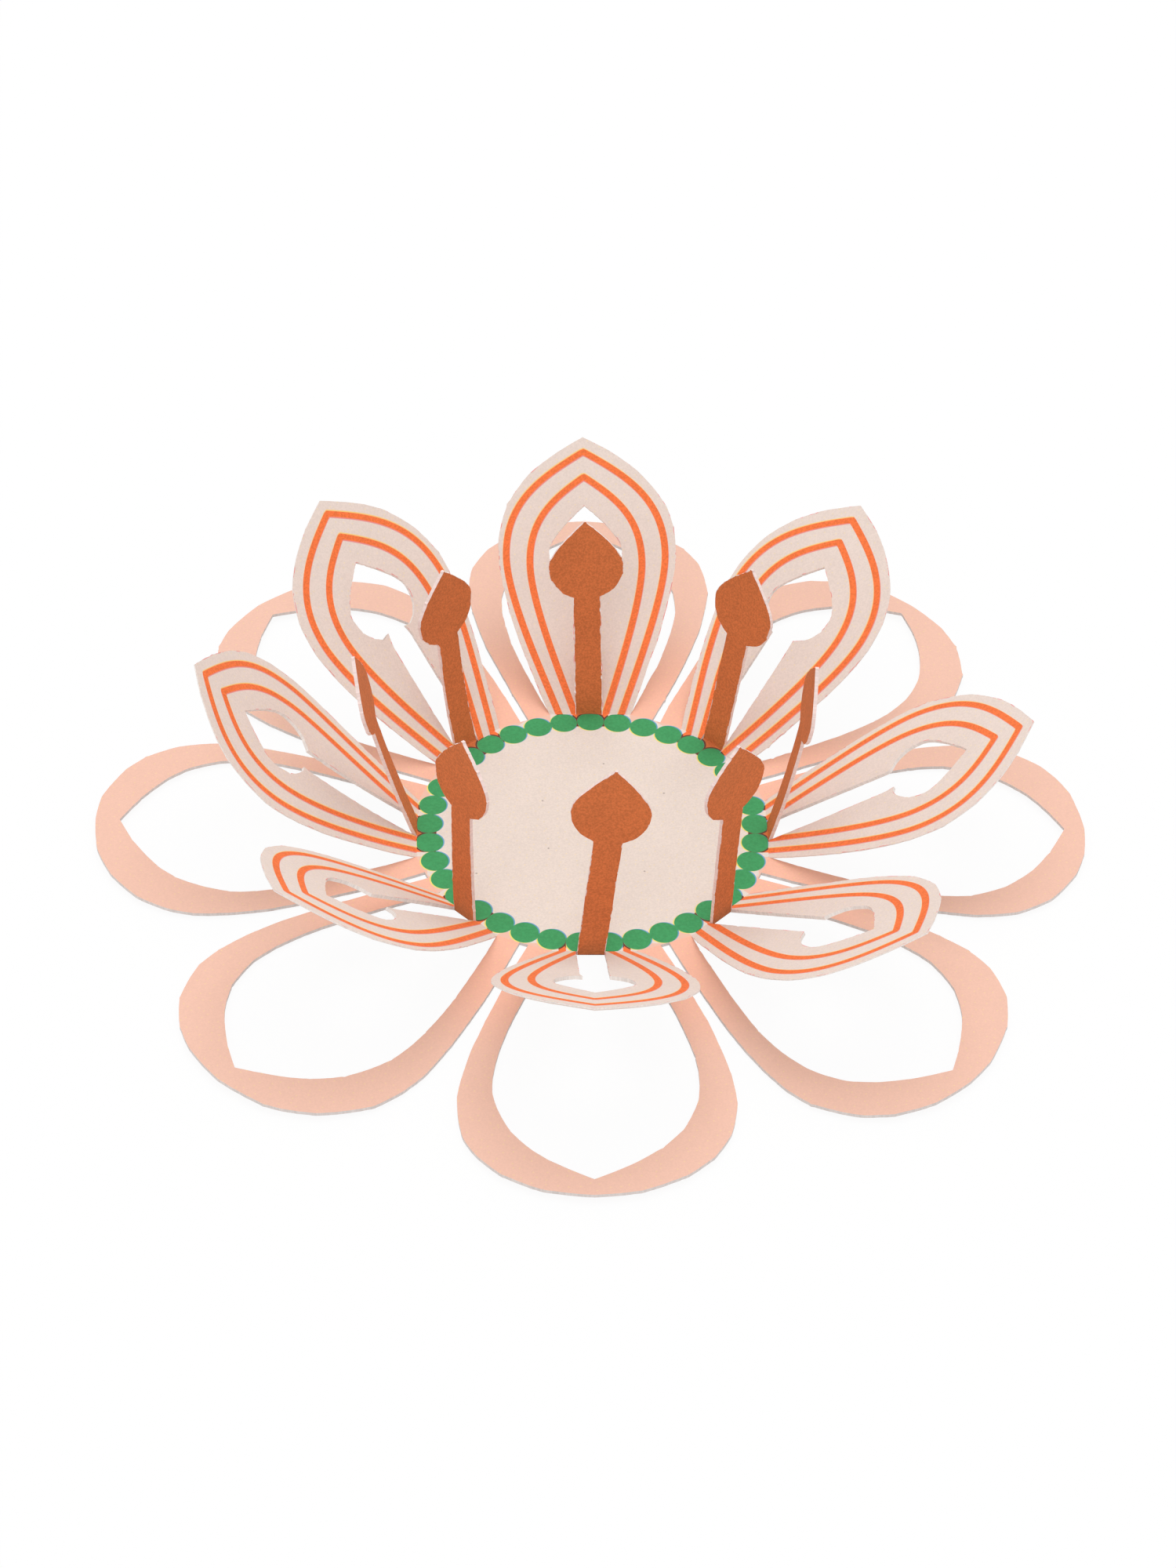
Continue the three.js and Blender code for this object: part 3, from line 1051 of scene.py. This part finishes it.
class FLOWER_OT_studio(bpy.types.Operator):
    """Set up the pale floor, the soft light and the camera"""

    bl_idname = "flower.studio"
    bl_label = "Studio"

    def execute(self, context):
        self.floor(context)
        self.light(context)
        self.camera(context)
        context.scene.view_settings.view_transform = "Standard"
        return {"FINISHED"}

    def floor(self, context):
        bm = bmesh.new()
        bmesh.ops.create_grid(bm, x_segments=1, y_segments=1, size=FLOOR_HALF)
        mesh = bpy.data.meshes.new("floor")
        bm.to_mesh(mesh)
        bm.free()
        floor = bpy.data.objects.new("floor", mesh)
        floor.location.z = -FLOOR_UNDER * MM
        context.scene.collection.objects.link(floor)
        material = bpy.data.materials.new("pale_floor")
        material.use_nodes = True
        tree = material.node_tree
        tree.nodes.clear()
        start = Sock(tree)
        seen = start.node("ShaderNodeLightPath", output="Is Camera Ray")
        gloss = start.node("ShaderNodeLightPath", output="Is Glossy Ray")
        through = start.node("ShaderNodeLightPath", output="Is Transmission Ray")
        grey = rgba([FLOOR_GREY] * 3)
        matt = start.node("ShaderNodeBsdfDiffuse", values={"Color": grey})
        white = start.node("ShaderNodeEmission", values={"Color": (1, 1, 1, 1), "Strength": 1.0})
        shown = seen.most(gloss).most(through) * FLOOR_WHITE
        shader = start.node("ShaderNodeMixShader", values={0: shown, 1: matt, 2: white})
        output = tree.nodes.new("ShaderNodeOutputMaterial")
        tree.links.new(shader.socket, output.inputs["Surface"])
        mesh.materials.append(material)

    def light(self, context):
        world = bpy.data.worlds.new("soft_studio")
        world.use_nodes = True
        context.scene.world = world
        tree = world.node_tree
        tree.nodes.clear()
        start = Sock(tree)
        seen = start.node("ShaderNodeLightPath", output="Is Camera Ray")
        soft, white = (
            start.node("ShaderNodeBackground", values={"Color": (1, 1, 1, 1), "Strength": strength})
            for strength in (ROOM_LIGHT, 1.0)
        )
        shader = start.node("ShaderNodeMixShader", values={0: seen, 1: soft, 2: white})
        output = tree.nodes.new("ShaderNodeOutputWorld")
        tree.links.new(shader.socket, output.inputs["Surface"])
        self.lamp(context, "overhead", place=(0.04, 0.2, 0.65), size=0.5, power=1.7)
        self.lamp(context, "fill", place=(-0.12, -0.55, 0.5), size=0.5, power=0.75)

    def lamp(self, context, name, place, size, power):
        data = bpy.data.lights.new(name, "AREA")
        data.energy = power
        data.size = size
        lamp = bpy.data.objects.new(name, data)
        lamp.location = place
        lamp.rotation_euler = (-Vector(place)).to_track_quat("-Z", "Y").to_euler()
        context.scene.collection.objects.link(lamp)

    def camera(self, context):
        data = bpy.data.cameras.new("camera")
        data.sensor_width = CAMERA_SENSOR
        data.lens = CAMERA_LENS
        data.shift_x, data.shift_y = CAMERA_SHIFT
        data.clip_start = CAMERA_CLIP
        camera = bpy.data.objects.new("camera", data)
        rise, turn = math.radians(CAMERA_ELEVATION), math.radians(CAMERA_YAW)
        back = Vector(
            (
                -math.cos(rise) * math.sin(turn),
                -math.cos(rise) * math.cos(turn),
                math.sin(rise),
            )
        )
        middle = Vector((0, 0, sizes().card_thickness))
        look = (-back).to_track_quat("-Z", "Y").to_matrix().to_4x4()
        camera.matrix_world = (
            Matrix.Translation(middle + back * CAMERA_DISTANCE)
            @ look
            @ Matrix.Rotation(math.radians(CAMERA_ROLL), 4, "Z")
        )
        context.scene.collection.objects.link(camera)
        context.scene.camera = camera


class FLOWER_PT_sidebar(bpy.types.Panel):
    """The flower's steps, its sizes and its colours"""

    bl_idname = "FLOWER_PT_sidebar"
    bl_label = "Paper flower"
    bl_space_type = "VIEW_3D"
    bl_region_type = "UI"
    bl_category = "Paper flower"

    def draw(self, context):
        layout = self.layout
        for operator in OPERATORS:
            layout.operator(operator.bl_idname)
        for group in (context.scene.flower_card_sizes, context.scene.flower_card_colours):
            column = layout.column(align=True)
            for name in group.__annotations__:
                column.prop(group, name)


GROUPS = (FlowerCardSizes, FlowerCardColours)
OPERATORS = (FLOWER_OT_fold_card, FLOWER_OT_studio)
CLASSES = (*GROUPS, *OPERATORS, FLOWER_PT_sidebar)


def register():
    for cls in CLASSES:
        bpy.utils.register_class(cls)
    bpy.types.Scene.flower_card_sizes = bpy.props.PointerProperty(type=FlowerCardSizes)
    bpy.types.Scene.flower_card_colours = bpy.props.PointerProperty(type=FlowerCardColours)


def unregister():
    del bpy.types.Scene.flower_card_colours
    del bpy.types.Scene.flower_card_sizes
    for cls in reversed(CLASSES):
        bpy.utils.unregister_class(cls)


def main():
    register()
    bpy.ops.flower.fold_card()
    bpy.ops.flower.studio()


if __name__ == "__main__":
    main()
